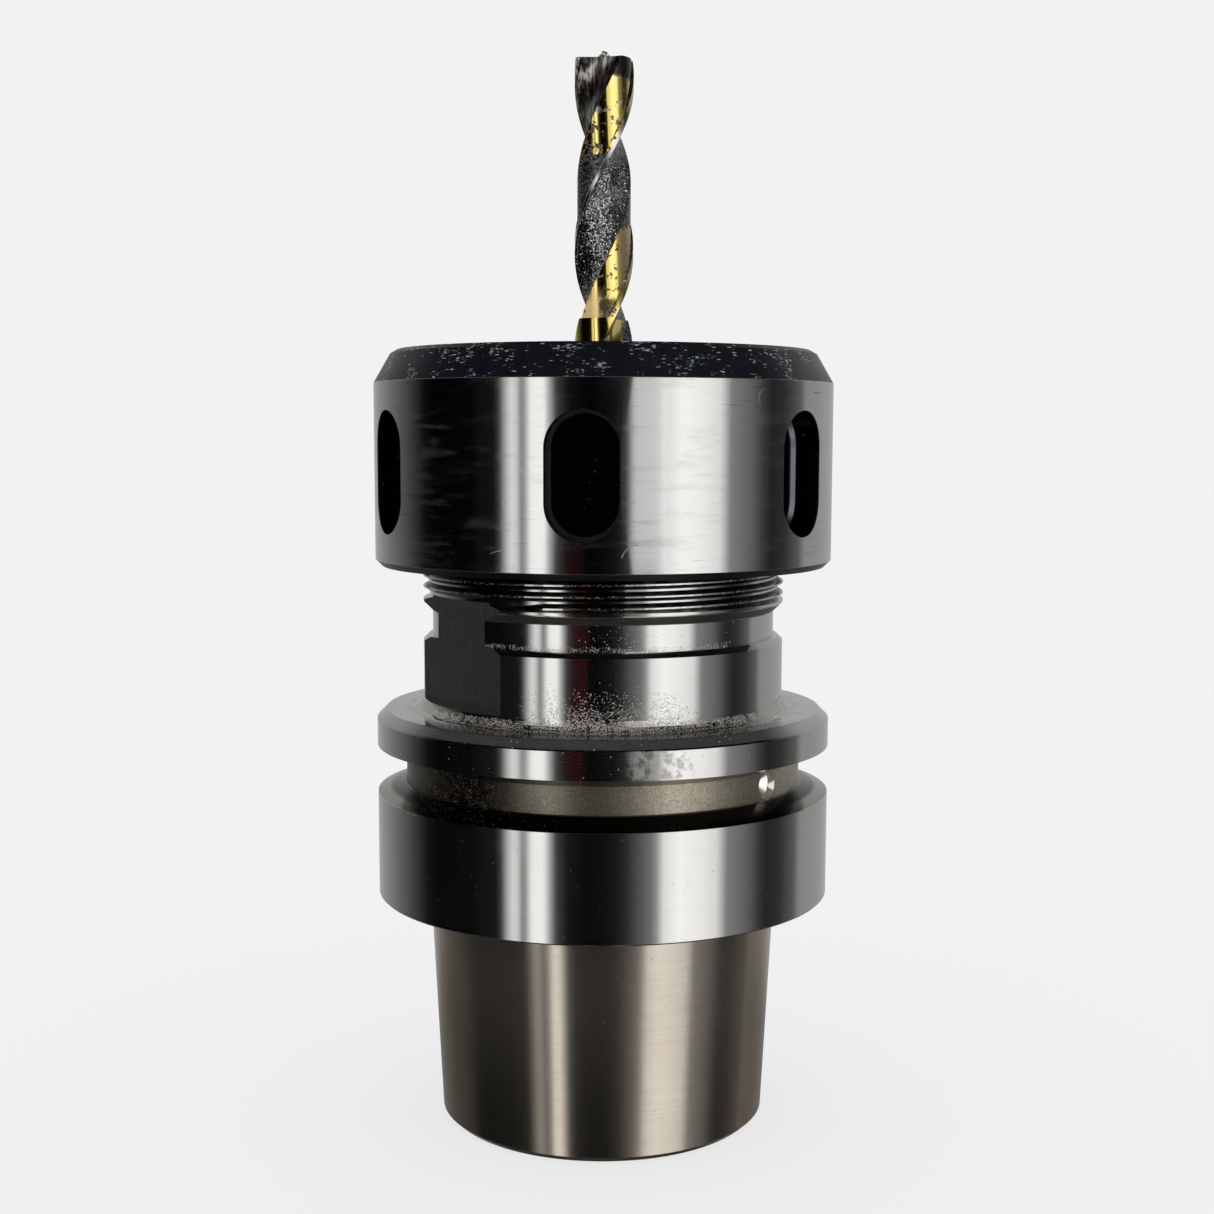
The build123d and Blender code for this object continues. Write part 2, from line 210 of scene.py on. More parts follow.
def place(tree):
    """Object coordinates in millimetres, the height and the distance from the axis."""
    mm = in_mm(tree)
    height = put(tree, "SeparateXYZ", {0: mm}).outputs[2]
    level = put(tree, "VectorMath", {0: mm, 1: (1.0, 1.0, 0.0)}, operation="MULTIPLY").outputs[0]
    radius = put(tree, "VectorMath", {0: level}, operation="LENGTH").outputs["Value"]
    return mm, height, radius


def mask(tree, *steps):
    """Product of smooth steps and of plain values.

    A step (value, low, high) rises from nought to one as its value goes from low to high. Two more numbers in
    a step are the levels that it starts and ends at instead."""
    product = None
    for step in steps:
        if isinstance(step, tuple):
            value, low, high, *levels = step
            start, end = levels or (0.0, 1.0)
            limits = {"Value": value, "From Min": low, "From Max": high, "To Min": start, "To Max": end}
            step = put(tree, "MapRange", limits, interpolation_type="SMOOTHSTEP").outputs[0]
        if product is None:
            product = step
        else:
            product = put(tree, "Math", {0: product, 1: step}, operation="MULTIPLY").outputs[0]
    return product


def band(value, low, high, soft):
    """Two steps for a mask: up at low and down at high, each over twice the softness."""
    return (value, low - soft, low + soft), (value, high - soft, high + soft, 1.0, 0.0)


def total(tree, start, *parts):
    """Start plus each part's value times its weight."""
    for value, weight in parts:
        start = put(tree, "Math", {0: value, 1: weight, 2: start}, operation="MULTIPLY_ADD").outputs[0]
    return start


def either(tree, first, *others):
    """Mask of every place that at least one of several masks marks."""
    for other in others:
        first = put(tree, "Math", {0: first, 1: other}, operation="MAXIMUM").outputs[0]
    return first


def paint(tree, base, *coats):
    """Lays coats over a base colour. A coat is a mask, a colour and, where it isn't opaque, its strength.

    The strength may be a step, as in a mask."""
    for where, shade, *strength in coats:
        amount = mask(tree, where, *strength)
        base = put(tree, "Mix", {0: amount, 6: base, 7: shade}, data_type="RGBA").outputs[2]
    return base


def grinding(tree, mm, along, across, detail=3.0):
    """Fine lines round the axis: noise stretched along the turn and narrow in height, from 0 to 1."""
    squeeze = (1 / along, 1 / along, 1 / across)
    drawn = put(tree, "VectorMath", {0: mm, 1: squeeze}, operation="MULTIPLY").outputs[0]
    noise = {"Vector": drawn, "Scale": 1.0, "Detail": detail, "Roughness": 0.6}
    return put(tree, "TexNoise", noise).outputs[0]


def clouds(tree, mm, size, detail=4.0, offset=(0.0, 0.0, 0.0)):
    """Soft blotches of one size in millimetres, from 0 to 1."""
    moved = put(tree, "VectorMath", {0: mm, 1: offset}, operation="ADD").outputs[0]
    noise = {"Vector": moved, "Scale": 1 / size, "Detail": detail, "Roughness": 0.62}
    return put(tree, "TexNoise", noise).outputs[0]


def hairlines(tree, mm, size, width, offset):
    """Scratches: thin places where a distorted noise passes its middle, kept where a second noise is high."""
    drawn = put(tree, "VectorMath", {0: mm, 1: offset}, operation="ADD").outputs[0]
    noise = {"Vector": drawn, "Scale": 1 / size, "Detail": 0.0, "Distortion": 0.4}
    field = put(tree, "TexNoise", noise).outputs[0]
    middle = put(tree, "Math", {0: field, 1: 0.5}, operation="SUBTRACT").outputs[0]
    off = put(tree, "Math", {0: middle}, operation="ABSOLUTE").outputs[0]
    return mask(tree, (off, 0.0, width, 1.0, 0.0), (clouds(tree, mm, size * 0.7, 2.0, offset), 0.56, 0.62))


def crumbs(tree, mm, size, share, ragged):
    """Grains of one size with ragged edges: cells round scattered points, bent by a finer noise, and kept where
    the cell's own chance is below the share. Returns the mask and a second chance per cell, for its colour."""
    bend = put(tree, "TexNoise", {"Vector": mm, "Scale": 1.4 / size, "Detail": 1.0}).outputs["Color"]
    shift = put(tree, "VectorMath", {0: bend, 1: (0.5, 0.5, 0.5)}, operation="SUBTRACT").outputs[0]
    reach = 3 * (size * ragged,)
    bent = put(tree, "VectorMath", {0: shift, 1: reach, 2: mm}, operation="MULTIPLY_ADD").outputs[0]
    cells = put(tree, "TexVoronoi", {"Vector": bent, "Scale": 1 / size})
    chance = put(tree, "SeparateColor", {0: cells.outputs["Color"]})
    kept = put(tree, "Math", {0: chance.outputs[0], 1: share}, operation="LESS_THAN").outputs[0]
    return mask(tree, kept, (cells.outputs["Distance"], 0.4, 0.55, 1.0, 0.0)), chance.outputs[1]


def facing(tree, mm, radius, turn, low, high):
    """One on the side of the round pieces that looks in a direction, nought away from it.

    The direction is in degrees from the -Y axis towards +X. The cosine of the angle between the point and the
    direction rises from low to high. With low above high, the mask is one on what looks away instead."""
    ahead = (math.sin(math.radians(turn)), -math.cos(math.radians(turn)), 0.0)
    along = put(tree, "VectorMath", {0: mm, 1: ahead}, operation="DOT_PRODUCT").outputs["Value"]
    cosine = put(tree, "Math", {0: along, 1: radius}, operation="DIVIDE").outputs[0]
    return mask(tree, (cosine, low, high))


def distance_out(tree, mm, way):
    """Distance from the plane through the axis that a horizontal direction is square to."""
    aside = put(tree, "VectorMath", {0: mm, 1: way}, operation="DOT_PRODUCT").outputs["Value"]
    return put(tree, "Math", {0: aside}, operation="ABSOLUTE").outputs[0]


def fill(tree, shader, base, rough, metallic, bump):
    """Links a colour, a roughness, a metallic share and a bump to a shader."""
    tree.links.new(base, shader.inputs["Base Color"])
    tree.links.new(rough, shader.inputs["Roughness"])
    tree.links.new(metallic, shader.inputs["Metallic"])
    tree.links.new(bump.outputs[0], shader.inputs["Normal"])


def dress(names, material):
    """Gives CAD nodes a material in all their slots."""
    for name in names:
        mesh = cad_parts[name].data
        mesh.materials.clear()
        mesh.materials.append(material)


def crumb_share(tree, mm, height, radius, sides, groove, wall):
    """Share of the holder's surface that crumbs cover, by place."""
    corner = mask(
        tree, *band(height, FLANGE_TOP_Z + 0.05, FLANGE_TOP_Z + 1.1, 0.15), total(tree, 0.12, (sides, 0.27))
    )
    low = mask(tree, *band(height, FLANGE_TOP_Z + 0.25, FLANGE_TOP_Z + 1.15, 0.25))
    up = mask(
        tree,
        (height, FLANGE_TOP_Z + 0.3, FLANGE_TOP_Z + 0.6),
        (height, FLANGE_TOP_Z - 2.0, FLANGE_TOP_Z + 6.5, 0.8, 0.0),
        facing(tree, mm, radius, 7.0, 0.87, 0.99),
    )
    ledge = mask(
        tree,
        (height, SHOULDER_Z, SHOULDER_Z + 0.8, 0.5, 0.0),
        (height, SHOULDER_Z + 0.01, SHOULDER_Z + 0.05),
        facing(tree, mm, radius, 2.0, 0.62, 0.8),
    )
    spray = mask(
        tree, *band(height, SHOULDER_Z, RELIEF_TOP_Z, 0.1), facing(tree, mm, radius, 8.0, 0.93, 0.99)
    )
    top = mask(
        tree,
        *band(height, FLANGE_TOP_Z - 0.1, FLANGE_TOP_Z + 0.02, 0.02),
        (radius, NECK_R + 1.3, NECK_R + 3.6, 0.5, 0.0),
        sides,
    )
    # Rusty dirt in the left of the groove and on the lower flange's edge, at its sides
    turned = either(tree, groove, mask(tree, wall, 0.25))
    caked = mask(tree, turned, facing(tree, mm, radius, -68.0, 0.35, 0.85))
    brink = mask(tree, *band(height, GROOVE_Z - 4.4, GROOVE_Z - 3.2, 0.1), sides)
    parts = (
        (corner, 1.0),
        (up, 1.0),
        (low, 0.55),
        (ledge, 1.0),
        (spray, 0.018),
        (top, 1.0),
        (caked, 0.18),
        (brink, 0.09),
    )
    return mask(
        tree,
        total(tree, 0.0015, *parts),
        (radius, BORE_WALL_R + 0.2, BORE_WALL_R + 0.5),
        (clouds(tree, mm, 1.6, 3.0, (9.0, 1.0, 5.0)), 0.32, 0.6, 0.25, 1.3),
    )


def steel_of_the_holder(finish):
    """Case-hardened steel, turned, hardened and ground: mirror-like on the neck and the flange, satin with a
    warm oil stain on the taper, matt in the gripper groove, with fine crumbs of dried coolant in the
    corners."""
    made, tree, shader = start_material("case-hardened steel, ground and stained")
    mm, height, radius = place(tree)
    taper = mask(tree, (height, FACE_Z - 0.6, FACE_Z - 0.4, 1.0, 0.0))
    inside = mask(tree, (radius, BORE_WALL_R - 0.2, BORE_WALL_R, 1.0, 0.0))
    outside = total(tree, 1.0, (inside, -1.0))
    rim = (radius, RIM_R - 0.1, RIM_R - 0.05)
    sides = facing(tree, mm, radius, VIEW_TURN, 0.75, 0.4)
    in_groove = mask(tree, *band(height, GROOVE_Z - GROOVE_HALF, GROOVE_Z + GROOVE_HALF, 0.05))
    groove = mask(tree, in_groove, (radius, GROOVE_FLOOR_R - 0.1, GROOVE_FLOOR_R + 0.5, 1.0, 0.0), outside)
    wall = mask(
        tree,
        in_groove,
        (radius, GROOVE_FLOOR_R - 0.1, GROOVE_FLOOR_R + 0.5),
        (radius, RIM_R - 0.2, RIM_R - 0.05, 1.0, 0.0),
    )
    drilled = mask(tree, in_groove, (radius, GROOVE_FLOOR_R - 0.12, GROOVE_FLOOR_R - 0.04, 1.0, 0.0), outside)

    # Turning and grinding marks are a few hundredths apart on the real one, drawn at 0.2 mm so that they show
    lines = grinding(tree, mm, 30.0, 0.2)
    coarse = grinding(tree, mm, 22.0, 0.8, 2.0)
    blotch = clouds(tree, mm, 9.0)
    fine = clouds(tree, mm, 0.7, 3.0, (40.0, 7.0, 3.0))
    grain = clouds(tree, mm, 0.3, 3.0, (1.0, 1.0, 8.0))

    # Bare metal with its stains: the oil has dried brown on the sides of the taper
    stained = total(tree, 0.0, (lines, 0.1), (coarse, 0.08), (blotch, 0.06))
    stained = mask(tree, stained, total(tree, 0.7, (taper, 0.9), (groove, 1.0)))
    dried = mask(tree, taper, total(tree, 0.25, (sides, 0.7)), (blotch, 0.3, 0.65, 0.48, 0.66))
    base = paint(
        tree,
        finish.steel,
        (taper, finish.taper),
        (either(tree, groove, mask(tree, inside, 0.6)), finish.groove),
        (stained, linear("#5B5148")),
        (dried, linear("#A5886C")),
    )

    # Painted shade: the groove is darkened at the left, and its lower wall is painted black but for its outer
    # edge at the sides, where it is painted light. The drilled mark in the groove is bright inside
    mottle = total(tree, 0.0, (mask(tree, (grain, 0.35, 0.65)), 0.4), (mask(tree, (blotch, 0.4, 0.6)), 0.12))
    wall_painted_shade_and_light = paint(
        tree, linear("#14120F"), (mask(tree, sides, (radius, RIM_R - 2.2, RIM_R - 1.4)), linear("#A5A29B"))
    )
    base = paint(
        tree,
        base,
        (mask(tree, groove, mottle), linear("#4C4636")),
        # Painted shade: the groove darkened at the left
        (mask(tree, groove, facing(tree, mm, radius, -75.0, 0.15, 0.8)), linear("#1C1A15"), 0.93),
        (wall, wall_painted_shade_and_light),
        (drilled, linear("#F0EEE8")),
    )

    # The two spanner flats are milled: a dark satin that mirrors nothing sharply
    flat = mask(
        tree,
        *band(distance_out(tree, mm, FLAT_WAY), FLAT_OUT - 0.03, FLAT_OUT + 0.03, 0.01),
        *band(height, FLANGE_TOP_Z + 1.5, RELIEF_TOP_Z + 2.5, 0.02),
    )
    beside = total(tree, 1.0, (flat, -1.0))

    # Grey scum covers the cone under the thread, and painted shade darkens the front of the flange's upper face
    cone = mask(tree, *band(height, RELIEF_TOP_Z + 0.1, RELIEF_TOP_Z + 1.15, 0.06), beside)
    shaded_deck = mask(
        tree,
        *band(height, FLANGE_TOP_Z - 0.05, FLANGE_TOP_Z + 0.03, 0.02),
        (radius, NECK_R + 2.0, NECK_R + 2.4),
        total(tree, 1.0, (sides, -1.0)),
    )
    lip = mask(
        tree,
        *band(height, FLANGE_TOP_Z - 1.1, FLANGE_TOP_Z + 0.03, 0.05),
        (radius, NECK_R + 1.8, NECK_R + 2.2),
    )

    # Crumbs: a dense line in the corner of neck and flange, thinner up the front of the neck, and on the
    # shoulder. Dried salts are finer than a tenth of a millimetre, drawn at 0.12 mm so that they show
    share = mask(tree, crumb_share(tree, mm, height, radius, sides, groove, wall), beside)
    grains, chance = crumbs(tree, mm, 0.12, share, 1.2)
    rusty = either(
        tree,
        mask(tree, (chance, 0.05, 0.35, 1.0, 0.0)),
        mask(tree, in_groove, 0.85),
        mask(tree, (height, GROOVE_Z - 3.7, GROOVE_Z - 2.9, 0.85, 0.0)),
    )

    # A dried splash on the flange's rim, right of the middle, and scratches on both rims
    splash = mask(
        tree,
        facing(tree, mm, radius, 18.5, 0.987, 0.997),
        *band(height, FLANGE_TOP_Z - 4.8, FLANGE_TOP_Z - 0.6, 0.4),
        rim,
        (clouds(tree, mm, 1.5, 5.0, (5.0, 0.0, 9.0)), 0.44, 0.6),
    )
    scratch = mask(tree, hairlines(tree, mm, 14.0, 0.003, (3.0, 8.0, 1.0)), rim)
    base = paint(
        tree,
        base,
        (flat, linear("#45473D"), (fine, 0.3, 0.7, 0.74, 0.86)),
        (cone, linear("#55534E")),
        # Painted shade on the front of the flange's upper face
        (shaded_deck, linear("#1E1C19"), 0.85),
        (splash, linear("#A8A59E"), 0.8),
        (grains, paint(tree, finish.dust, (rusty, finish.rust))),
        (scratch, linear("#8F8D88"), 0.12),
    )
    rough = total(
        tree,
        0.055,
        (taper, 0.055),
        (cone, 0.3),
        (shaded_deck, 0.05),
        (splash, 0.25),
        (groove, 0.27),
        (wall, 0.08),
        (drilled, -0.22),
        (inside, 0.2),
        (flat, 0.14),
        (lines, 0.035),
        (mask(tree, (blotch, 0.45, 0.7)), 0.03),
        (grains, 0.5),
    )
    # What sticks to the metal is matt, so it takes a share of the shine away
    film = total(
        tree,
        0.004,
        (taper, mask(tree, (height, 4.0, 30.0, 0.02, 0.065))),
        (groove, total(tree, 0.015, (facing(tree, mm, radius, 62.0, 0.3, 0.9), 0.15))),
        (inside, 0.02),
        (cone, 0.2),
        (lip, 0.065),
        (splash, 0.3),
    )
    bare = total(tree, 1.0, (either(tree, mask(tree, grains, 0.92), film), -1.0))
    relief = total(tree, 0.0, (lines, 0.07), (mask(tree, fine, groove), 0.3), (grains, 1.6), (scratch, -0.1))
    bump = put(tree, "Bump", {"Height": relief, "Strength": 0.5, "Distance": 0.02 * MM})
    fill(tree, shader, base, rough, bare, bump)
    return made


def steel_of_the_thread(finish):
    """Hardened steel thread: bright crests, flanks darkened by old oil and by painted shade, with gold-brown
    grit.
    """
    made, tree, shader = start_material("case-hardened steel, thread with old oil and painted shade")
    mm, _, radius = place(tree)
    # Old oil and painted shade: the flanks under the crest are darkened
    oil = mask(
        tree,
        (radius, NECK_R - 0.4, NECK_R - 0.03, 1.0, 0.0),
        (clouds(tree, mm, 1.6), 0.36, 0.6, 0.75, 0.97),
    )
    # Grit on the crests, finer than a tenth of a millimetre and drawn at 0.12 mm so that it shows
    share = mask(tree, (radius, NECK_R - 0.2, NECK_R - 0.02), 0.2)
    grains, chance = crumbs(tree, mm, 0.12, share, 1.0)
    grit = paint(tree, finish.rust, (chance, linear("#C4AE7E")))
    base = paint(tree, finish.steel, (oil, linear("#2B2620")), (grains, grit))
    rough = total(tree, 0.1, (oil, 0.12), (grains, 0.3))
    bare = total(tree, 1.0, (grains, -0.75))
    bump = put(tree, "Bump", {"Height": grains, "Strength": 0.5, "Distance": 0.03 * MM})
    fill(tree, shader, base, rough, bare, bump)
    return made


def steel_of_the_nut(finish):
    """Tool steel, blackened all over and then ground outside: a mirror-like band with faint smears round it,
    between faces of blue-black oxide with bare, drawn-out flecks where other parts have rubbed."""
    made, tree, shader = start_material("tool steel, ground outside and black-oxidised")
    mm, height, radius = place(tree)
    ground = mask(tree, (radius, RIM_R - 0.05, RIM_R - 0.02))
    dark = total(tree, 1.0, (ground, -1.0))

    # The ground band: lines round it, wide smears and narrow dark marks. The lines are a few hundredths apart
    # on the real one, drawn at 0.2 mm so that they show
    lines = grinding(tree, mm, 26.0, 0.2)
    smear = mask(tree, (grinding(tree, mm, 9.0, 1.6, 4.0), 0.48, 0.74))
    shade = total(tree, 0.0, (lines, 0.08), (smear, 0.14), (clouds(tree, mm, 7.0), 0.04))
    marks = mask(
        tree,
        (grinding(tree, mm, 5.0, 0.2, 1.0), 0.66, 0.74),
        (clouds(tree, mm, 12.0, 1.0), 0.46, 0.58),
    )
    steel = paint(tree, finish.steel, (shade, linear("#54524F")), (marks, linear("#2E2C2A"), 0.4))

    # Bare flecks lie flat on the front, drawn out along the turn, in patches and along its edge
    stretched = put(tree, "VectorMath", {0: mm, 1: (0.17, 0.17, 1.0)}, operation="MULTIPLY").outputs[0]
    front = mask(tree, (height, NUT_TOP - 4.6, NUT_TOP - 4.2))
    patch = mask(tree, (clouds(tree, mm, 3.6, 2.0, (2.0, 6.0, 9.0)), 0.46, 0.66, 0.012, 0.55))
    edge = mask(tree, (height, NUT_TOP - 1.3, NUT_TOP - 0.1))
    grains, chance = crumbs(tree, stretched, 0.11, mask(tree, front, total(tree, patch, (edge, 0.05))), 0.8)
    dots, dot_chance = crumbs(tree, mm, 0.12, total(tree, 0.001, (mask(tree, front, patch), 0.05)), 1.2)
    worn = either(tree, mask(tree, grains, (chance, 0.0, 1.0, 0.0, 0.85)), mask(tree, dots, dot_chance))

    # Painted shade: in the pockets and under the bottom edge the black is painted darker still
    pocket = mask(
        tree,
        (radius, RIM_R - 0.3, RIM_R - 0.2, 1.0, 0.0),
        (radius, POCKET_FLOOR - 0.5, POCKET_FLOOR - 0.2),
        *band(height, POCKET_LOW, POCKET_HIGH, 0.1),
    )
    painted_deep_shade = either(tree, pocket, mask(tree, (height, NUT_BOTTOM + 1.3, NUT_BOTTOM + 1.6, 1.0, 0.0)))

    # The sloped edge round each pocket's floor is rubbed to a dull shine
    outward = []
    for turn in (30, 90, 150):
        way = (math.cos(math.radians(turn)), math.sin(math.radians(turn)), 0.0)
        out = distance_out(tree, mm, way)
        outward.append(mask(tree, *band(out, POCKET_FLOOR + 0.03, POCKET_FLOOR + 0.5, 0.02)))
    rubbed = mask(tree, either(tree, *outward), pocket)
    black = paint(
        tree,
        finish.oxide,
        (clouds(tree, mm, 2.2), linear("#121A2B"), 0.6),
        # Painted shade in the pockets and under the bottom edge
        (painted_deep_shade, grey(0), 0.92),
        (worn, finish.worn),
        (rubbed, linear("#6C7078")),
    )
    base = paint(tree, black, (ground, steel))

    # Fine scratches that a spanner and chips have left on the ground band
    scuffs = mask(tree, hairlines(tree, mm, 9.0, 0.003, (1.0, 5.0, 2.0)), ground)
    scratch = hairlines(tree, mm, 11.0, 0.004, (13.0, 2.0, 4.0))
    rough = total(
        tree,
        0.06,
        (lines, 0.03),
        (smear, 0.06),
        (dark, 0.24),
        (pocket, -0.2),
        (rubbed, 0.08),
        (scuffs, 0.3),
    )
    bare = either(tree, mask(tree, ground, total(tree, 1.0, (smear, -0.035))), mask(tree, rubbed, 0.9))
    # Oil makes the oxide mirror more than a dry coat would
    shader.inputs["Specular IOR Level"].default_value = 0.8
    relief = total(
        tree,
        0.0,
        (mask(tree, lines, ground), 0.07),
        (mask(tree, worn, dark), 0.8),
        (mask(tree, clouds(tree, mm, 0.5, 2.0), dark), 0.5),
        (scratch, -0.15),
    )
    bump = put(tree, "Bump", {"Height": relief, "Strength": 0.5, "Distance": 0.02 * MM})
    fill(tree, shader, base, rough, bare, bump)
    return made


def margin_edge(tree, mm, height):
    """Mask of the last few hundredths of each land, where its margin is.

    The angle round the cutter, less the helix, is taken in half turns. Each half turn holds one flute, one
    land and its margin."""
    ways = put(tree, "SeparateXYZ", {0: mm})
    round_about = put(tree, "Math", {0: ways.outputs[1], 1: ways.outputs[0]}, operation="ARCTAN2").outputs[0]
    half_turns = total(tree, EDGE_SHARE, (round_about, 1 / math.pi), (height, -1 / HALF_LEAD))
    share = put(tree, "Math", {0: half_turns}, operation="FRACT").outputs[0]
    return mask(tree, (share, 0.955, 0.962))


def steel_of_the_cutter(finish):
    """High-speed steel with a titanium nitride coat: mirror-like gold on the lands and the shank, grey where
    the margins have worn bare near the tip, and a rough crust of burnt resin in the flutes, its glitter partly
    painted highlights."""
    made, tree, shader = start_material("high-speed steel, nitride coated, burnt resin in the flutes")
    mm, height, radius = place(tree)
    land = mask(tree, *band(radius, LAND_R - 0.035, LAND_R + 0.05, 0.01))
    full = mask(tree, (radius, CUTTER_R - 0.05, CUTTER_R - 0.03))
    proud = either(tree, land, full)
    above = mask(tree, (height, GROUND_Z - 0.05, GROUND_Z + 0.05))
    tip = mask(tree, (height, POINT_Z, POINT_Z + 0.1))
    last = mask(tree, (height, CUTTER_TOP - 4.4, CUTTER_TOP - 3.4))
    near_tip = mask(tree, (height, CUTTER_TOP - 11.5, CUTTER_TOP - 7.5))
    below_tip = total(tree, 1.0, (near_tip, -1.0))
    worn_bare = mask(tree, full, margin_edge(tree, mm, height), (height, NUT_TOP + 11.0, NUT_TOP + 19.0))

    # Soot: in flakes on the coat, nearly closed half way up and in the last millimetres under the tip, and in
    # one blot on the front of the lower land
    ash = clouds(tree, mm, 1.1, 5.0, (4.0, 4.0, 4.0))
    half_way = mask(tree, *band(height, NUT_TOP + 16.6, NUT_TOP + 25.5, 1.6))
    upper = mask(tree, *band(height, NUT_TOP + 24.0, NUT_TOP + 31.0, 2.0))
    cover = total(tree, ash, (either(tree, half_way, last), 0.3), (upper, 0.07))
    blot_at = (1.0, -CUTTER_R, NUT_TOP + 5.9)
    blot_off = put(tree, "VectorMath", {0: mm, 1: blot_at}, operation="DISTANCE").outputs["Value"]
    blot = mask(tree, (total(tree, blot_off, (ash, 2.4)), 2.0, 2.7, 1.0, 0.0), above)
    soot = either(tree, mask(tree, (cover, 0.6, 0.66), above), mask(tree, blot, 0.85))

    # The flutes run out on the shank, where the coat is whole again but for the right side
    right = put(tree, "SeparateXYZ", {0: mm}).outputs[0]
    shank = mask(tree, total(tree, 1.0, (above, -1.0)), (right, 2.2, 2.7, 1.0, 0.0))
    coated = mask(tree, either(tree, proud, shank), total(tree, 1.0, (soot, -1.0)))

    # The crust: grains of ash, with painted highlights, white specks laid most where it faces the front,
    # painted black shade on the left, out of the light, and thin and streaked near the tip. The grains are
    # finer than a tenth of a millimetre on the real one; grains and glints are drawn at 0.16 and 0.22 mm so
    # that they show
    crust = clouds(tree, mm, 0.5, 5.0)
    heap = mask(tree, (clouds(tree, mm, 2.2, 3.0, (7.0, 3.0, 1.0)), 0.4, 0.62))
    grit, chance = crumbs(tree, mm, 0.16, 0.4, 1.2)
    painted_glint_spread = mask(
        tree, facing(tree, mm, radius, -12.0, 0.6, 0.95), *band(height, NUT_TOP + 7.0, NUT_TOP + 26.0, 4.0)
    )
    painted_glints, glint_chance = crumbs(tree, mm, 0.22, total(tree, 0.03, (painted_glint_spread, 0.5)), 1.0)
    painted_glitter = mask(tree, painted_glints, total(tree, 1.0, (proud, -1.0)))
    drawn = put(tree, "VectorMath", {0: mm, 1: (1.0, 1.0, 0.16)}, operation="MULTIPLY").outputs[0]
    streaks = mask(tree, (clouds(tree, drawn, 0.5, 3.0), 0.42, 0.6))
    gum = paint(
        tree,
        linear("#2E2E30"),
        (mask(tree, (crust, 0.36, 0.64)), linear("#929294")),
        # Painted shade: black on the left, out of the light
        (facing(tree, mm, radius, -80.0, 0.45, 0.98), linear("#1A1A1C")),
        (heap, finish.gum, 0.7),
        (mask(tree, grit, chance, below_tip), linear("#FAFAFA")),
        # Painted highlights: white glints, most where the crust faces the front
        (mask(tree, painted_glitter, (glint_chance, 0.0, 0.8, 0.35, 1.0)), linear("#FFFFFF")),
        (near_tip, paint(tree, linear("#5A524A"), (streaks, linear("#E6E2DC"))), 0.9),
        (mask(tree, last, proud), linear("#4A4038")),
        (blot, linear("#3E3023"), 0.85),
    )

    # Painted light and shade on the coat: a pale highlight low on the left, and brown shade on the right of the
    # lower land, where the gold darkens at its edge
    painted_highlight_low_left = mask(
        tree,
        (height, GROUND_Z + 1.6, GROUND_Z + 4.6, 1.0, 0.0),
        land,
        facing(tree, mm, radius, -70.0, 0.1, 0.7),
    )
    film = mask(
        tree,
        facing(tree, mm, radius, 70.0, 0.8, 0.97),
        *band(height, NUT_TOP + 9.5, NUT_TOP + 17.5, 3.0),
        coated,
    )
    # Painted highlights: the point is grey with white patches for its bright facets
    point = paint(tree, linear("#4A4A48"), (mask(tree, (crust, 0.45, 0.55)), linear("#FFFFFA")))
    base = paint(
        tree,
        gum,
        # Painted highlight: pale gold low on the left
        (coated, paint(tree, finish.gold, (painted_highlight_low_left, linear("#FFDE9C")))),
        # Painted shade: brown on the right of the lower land
        (film, linear("#8D7967"), 0.9),
        (worn_bare, linear("#D4D4D6")),
        (tip, point),
    )
    rest = total(tree, 1.0, (either(tree, coated, worn_bare, tip), -1.0))
    rough = total(tree, 0.095, (rest, 0.2), (worn_bare, 0.16), (tip, 0.2), (film, 0.2), (painted_highlight_low_left, 0.16))
    caked = mask(tree, rest, either(tree, mask(tree, heap, 0.4), painted_glitter), below_tip)
    matt = either(tree, caked, mask(tree, tip, 0.8), mask(tree, film, 0.5), mask(tree, painted_highlight_low_left, 0.78))
    relief = mask(tree, total(tree, crust, (grit, 0.5)), rest, (near_tip, 0.0, 1.0, 1.0, 0.12))
    bump = put(tree, "Bump", {"Height": relief, "Strength": 1.0, "Distance": 0.1 * MM})
    fill(tree, shader, base, rough, total(tree, 1.0, (matt, -1.0)), bump)
    return made


def small_steel(name, shade, dark, rough_low, rough_high, size, film=0.0):
    """Steel of one colour with soft blotches of one size in millimetres, a roughness that follows them, and a
    share of its light from a matt film. Its fine lines are drawn at 0.3 mm, coarser than real, so that they
    show."""
    made, tree, shader = start_material(name)
    mm = in_mm(tree)
    lines = grinding(tree, mm, 16.0, 0.3)
    blotch = clouds(tree, mm, size)
    base = paint(tree, linear(shade), (total(tree, 0.0, (blotch, 0.3), (lines, 0.15)), linear(dark)))
    bump = put(tree, "Bump", {"Height": lines, "Strength": 0.3, "Distance": 0.01 * MM})
    tree.links.new(base, shader.inputs["Base Color"])
    tree.links.new(mask(tree, (blotch, 0.3, 0.7, rough_low, rough_high)), shader.inputs["Roughness"])
    shader.inputs["Metallic"].default_value = 1.0 - film
    tree.links.new(bump.outputs[0], shader.inputs["Normal"])
    return made


# Both threads: a flank's slope, half a crest's width as a share of the pitch, how far a ridge is sunk into
# its wall, how thick it is at its ends as a share of its thickness elsewhere, and points in a turn
FLANK_SLOPE = math.tan(math.radians(30))
CREST_SHARE = 1 / 16
SUNK = 0.15 * MM
END_SHARE = 0.2
POINTS_PER_TURN = 120
# Angles over which the threads sink into their walls at both ends, and a cut crest's depth under its flat
NECK_FADE = 0.2
NUT_FADE = 0.6
UNDER_FLAT = 0.03 * MM
# Room between the nut's lower edge and its thread, and how many turns this thread has
NUT_ENTRY = 0.9 * MM
NUT_TURNS = 9.4


